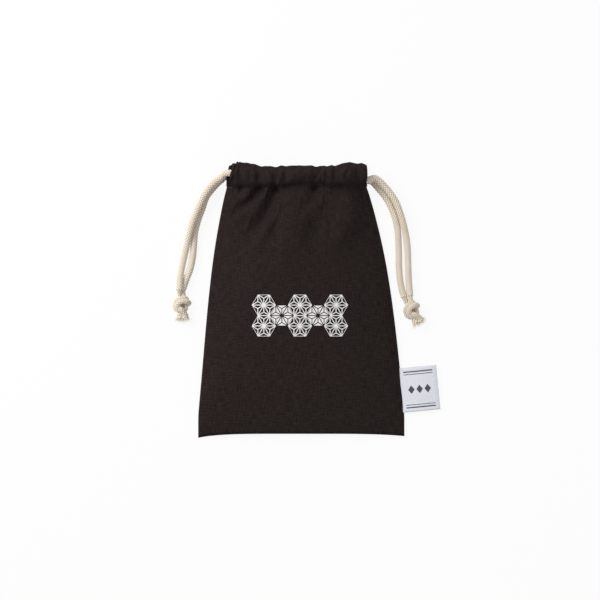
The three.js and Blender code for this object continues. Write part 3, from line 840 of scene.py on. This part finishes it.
bm = bmesh.new()
for column in range(PRINT_COLUMNS):
    x = (column - PRINT_COLUMNS // 2) * 1.5 * HEXAGON_SIDE
    rows = (-0.5, 0.5) if column % 2 == 0 else (0,)
    for row in rows:
        add_hemp_leaf(bm, PRINT_CENTRE + Vector((x, row * math.sqrt(3) * HEXAGON_SIDE, 0)), column % 2 == 1)
long_edges = [edge for edge in bm.edges if edge.calc_length() > LONGEST_PRINT_EDGE]
bmesh.ops.subdivide_edges(bm, edges=long_edges, cuts=2, use_grid_fill=True)
for vert in bm.verts:
    above = Vector((vert.co.x, vert.co.y, ABOVE_THE_BAG))
    vert.co = bag_surface.ray_cast(above, Vector((0, 0, -1)))[0] + Vector((0, 0, INK_LIFT))
print_piece = finished_piece("front_print", bm, screen_ink())


# The care label is a white satin ribbon, folded in two and caught by its cut ends in the side seam.
# Its fold is soft, so that the front layer curls away from the one behind it.
LABEL_HEIGHT = 32.5 * MM
LABEL_REACH = 26.5 * MM
LABEL_TUCK = 1.8 * MM
LABEL_RISE = 33 * MM
LABEL_Z = 2.1 * MM
LABEL_THICKNESS = 0.22 * MM
LABEL_ROWS, LABEL_STEPS = 24, 60


def seam_x(y):
    return centre_x(y) + half_width(y)


def label_point(along, across):
    """along runs from 0 at the front cut end over 1 at the fold to 2 at the rear one."""
    rear = along > 1
    share = 2 - along if rear else along
    x = mix(-LABEL_TUCK, LABEL_REACH, math.sin(share * math.pi / 2) if share > 0.9 else share)
    loft = 0.9 * MM * math.sin(math.pi * share) ** 1.2 + 0.5 * MM * share
    height = math.sqrt(max(0, 1 - max(0, (share - 0.9) / 0.1) ** 2))
    z = (0.25 * MM + loft * (0.6 if rear else 1)) * height * (-1 if rear else 1)
    droop = 0.35 * MM * share
    return Vector((x, across * LABEL_HEIGHT / 2, z - droop + 0.15 * MM * math.sin(4 * across + 3 * share)))


LABEL_MIDDLE_Y = BOTTOM + LABEL_RISE
label_turn = math.atan2(seam_x(LABEL_MIDDLE_Y - 10 * MM) - seam_x(LABEL_MIDDLE_Y + 10 * MM), 20 * MM)
label_place = Matrix.Translation((seam_x(LABEL_MIDDLE_Y), LABEL_MIDDLE_Y, LABEL_Z))
label_place = label_place @ Matrix.Rotation(label_turn, 4, "Z")


def satin_ribbon():
    """Woven polyester satin: white with a cool cast, fine ribs across, and a low soft gloss."""
    material, surface = new_material("white_satin_ribbon", 0.5)
    uv = add_node(material, "UVMap", uv_map="ribbon").outputs["UV"]
    # weft ribs, drawn 0.5 mm apart because the real 0.2 mm don't show
    stretched = add_node(material, "Mapping", {"Vector": uv, "Scale": (2000, 400, 1)}).outputs["Vector"]
    rib = add_node(material, "TexNoise", {"Vector": stretched, "Scale": 1.0, "Detail": 2.0}).outputs["Fac"]
    colour = add_node(material, "ValToRGB", {"Fac": rib})
    colour.color_ramp.elements[0].color = linear("#d6d8e4")
    colour.color_ramp.elements[1].color = linear("#f4f5fb")
    bump = add_node(material, "Bump", {"Height": rib, "Strength": 0.4, "Distance": 0.06 * MM})
    material.node_tree.links.new(colour.outputs["Color"], surface.inputs["Base Color"])
    material.node_tree.links.new(bump.outputs["Normal"], surface.inputs["Normal"])
    return material


bm = bmesh.new()
ribbon_uv = bm.loops.layers.uv.new("ribbon")
bmesh.ops.create_grid(bm, x_segments=LABEL_STEPS, y_segments=LABEL_ROWS, size=0.5)
for face in bm.faces:
    for loop in face.loops:
        loop[ribbon_uv].uv = (loop.vert.co.x + 0.5) * 2 * LABEL_REACH, loop.vert.co.y * LABEL_HEIGHT
for vert in bm.verts:
    vert.co = label_place @ label_point((vert.co.x + 0.5) * 2, vert.co.y * 2)
label = finished_piece("side_label_ribbon", bm, satin_ribbon(), "side_label")
wall = label.modifiers.new("wall", "SOLIDIFY")
wall.thickness = LABEL_THICKNESS
wall.offset = 0

# The label's front is printed in one grey ink: a row of three diamonds, and a pair of rules at each edge.
LABEL_INK = "#4a4b50"
LABEL_RULES = [
    # left, bottom, width and height in mm, from the seam and from the label's middle
    (2.0, 12.6, 21.5, 0.9), (2.0, 10.9, 21.5, 0.5), (2.0, -11.4, 21.5, 0.5), (2.0, -13.5, 21.5, 0.9),
]
LABEL_DIAMONDS = [(6.75, 0.0, 2.4), (12.75, 0.0, 2.4), (18.75, 0.0, 2.4)]  # middle, and half the width
PRINT_LIFT = 0.04 * MM


def label_ink():
    """Flat grey printing ink on the satin, a little duller than it."""
    material, surface = new_material("grey_label_ink", 0.55)
    grain = add_node(material, "TexCoord").outputs["Object"]
    speck = add_node(material, "TexNoise", {"Vector": grain, "Scale": 3000.0})
    mixed = add_node(
        material, "Mix", {"Factor": speck.outputs["Fac"], "A": linear(LABEL_INK), "B": linear("#3f4045")},
        data_type="RGBA",
    )
    material.node_tree.links.new(mixed.outputs["Result"], surface.inputs["Base Color"])
    return material


grey_ink = label_ink()


def printed_on_label(name, corners):
    """A patch of ink on the label's front, from its corners in mm, laid on the curled ribbon."""
    bm = bmesh.new()
    face = bm.faces.new([bm.verts.new((x, y, 0)) for x, y in corners])
    bmesh.ops.subdivide_edges(bm, edges=bm.edges[:], cuts=7, use_grid_fill=True)
    for vert in bm.verts:
        share = (vert.co.x * MM + LABEL_TUCK) / (LABEL_REACH + LABEL_TUCK)
        spot = label_point(share, vert.co.y * MM * 2 / LABEL_HEIGHT)
        vert.co = label_place @ (spot + Vector((0, 0, LABEL_THICKNESS / 2 + PRINT_LIFT)))
    return finished_piece(name, bm, grey_ink)


for i, (x, y, width, height) in enumerate(LABEL_RULES):
    corners = [(x, y), (x + width, y), (x + width, y + height), (x, y + height)]
    printed_on_label(f"label_rule_{i}", corners)
for i, (x, y, half) in enumerate(LABEL_DIAMONDS):
    corners = [(x - half, y), (x, y - half * 1.3), (x + half, y), (x, y + half * 1.3)]
    printed_on_label(f"label_diamond_{i}", corners)


# The pouch lies on a white table top, in an even white room with one soft light from the upper left of
# the picture. Together they light it at a plain level, at which a colour renders about as it is written.
TABLE_GLOW = 0.9  # the share of the table that shows as plain white, and the rest takes the shadow
TABLE_HALF_WIDTH = 2.0
ROOM_LEVEL = 0.56  # of the room's even light
SOFTBOX_PLACE = Vector(((-0.78, 0.53, 0.74)))


def seen_directly(owner):
    """1 for what the camera sees by itself, in a reflection or through something clear."""
    paths = add_node(owner, "LightPath").outputs
    seen = paths["Is Camera Ray"]
    for path in ("Is Glossy Ray", "Is Transmission Ray"):
        seen = add_node(owner, "Math", {0: seen, 1: paths[path]}, operation="MAXIMUM").outputs[0]
    return seen


table_mesh = bpy.data.meshes.new("table")
bm = bmesh.new()
bmesh.ops.create_grid(bm, x_segments=1, y_segments=1, size=TABLE_HALF_WIDTH)
bm.to_mesh(table_mesh)
bm.free()
table = bpy.data.objects.new("table", table_mesh)
scene.collection.objects.link(table)

table_top, surface = new_material("white_table_top", 0.7, "#f4f4f4")
seen = seen_directly(table_top)
part = add_node(table_top, "Math", {0: seen, 1: TABLE_GLOW}, operation="MULTIPLY").outputs[0]
glow = add_node(table_top, "Emission", {"Color": (1, 1, 1, 1), "Strength": 1.0}).outputs["Emission"]
blend = add_node(table_top, "MixShader", {0: part, 1: surface.outputs["BSDF"], 2: glow})
output = table_top.node_tree.nodes["Material Output"]
table_top.node_tree.links.new(blend.outputs["Shader"], output.inputs["Surface"])
table_mesh.materials.append(table_top)

softbox_data = bpy.data.lights.new("softbox", "AREA")
softbox_data.shape = "RECTANGLE"
softbox_data.size = 0.8
softbox_data.size_y = 0.5
softbox_data.energy = 9.5
softbox = bpy.data.objects.new("softbox", softbox_data)
softbox.location = SOFTBOX_PLACE
softbox.rotation_euler = (-SOFTBOX_PLACE).to_track_quat("-Z", "Y").to_euler()
scene.collection.objects.link(softbox)

world = bpy.data.worlds.new("room")
scene.world = world
world.use_nodes = True
background = world.node_tree.nodes["Background"]
background.inputs["Color"].default_value = (1, 1, 1, 1)
level = add_node(world, "MapRange", {"Value": seen_directly(world), "To Min": ROOM_LEVEL, "To Max": 1.0})
world.node_tree.links.new(level.outputs["Result"], background.inputs["Strength"])
scene.view_settings.view_transform = "Standard"
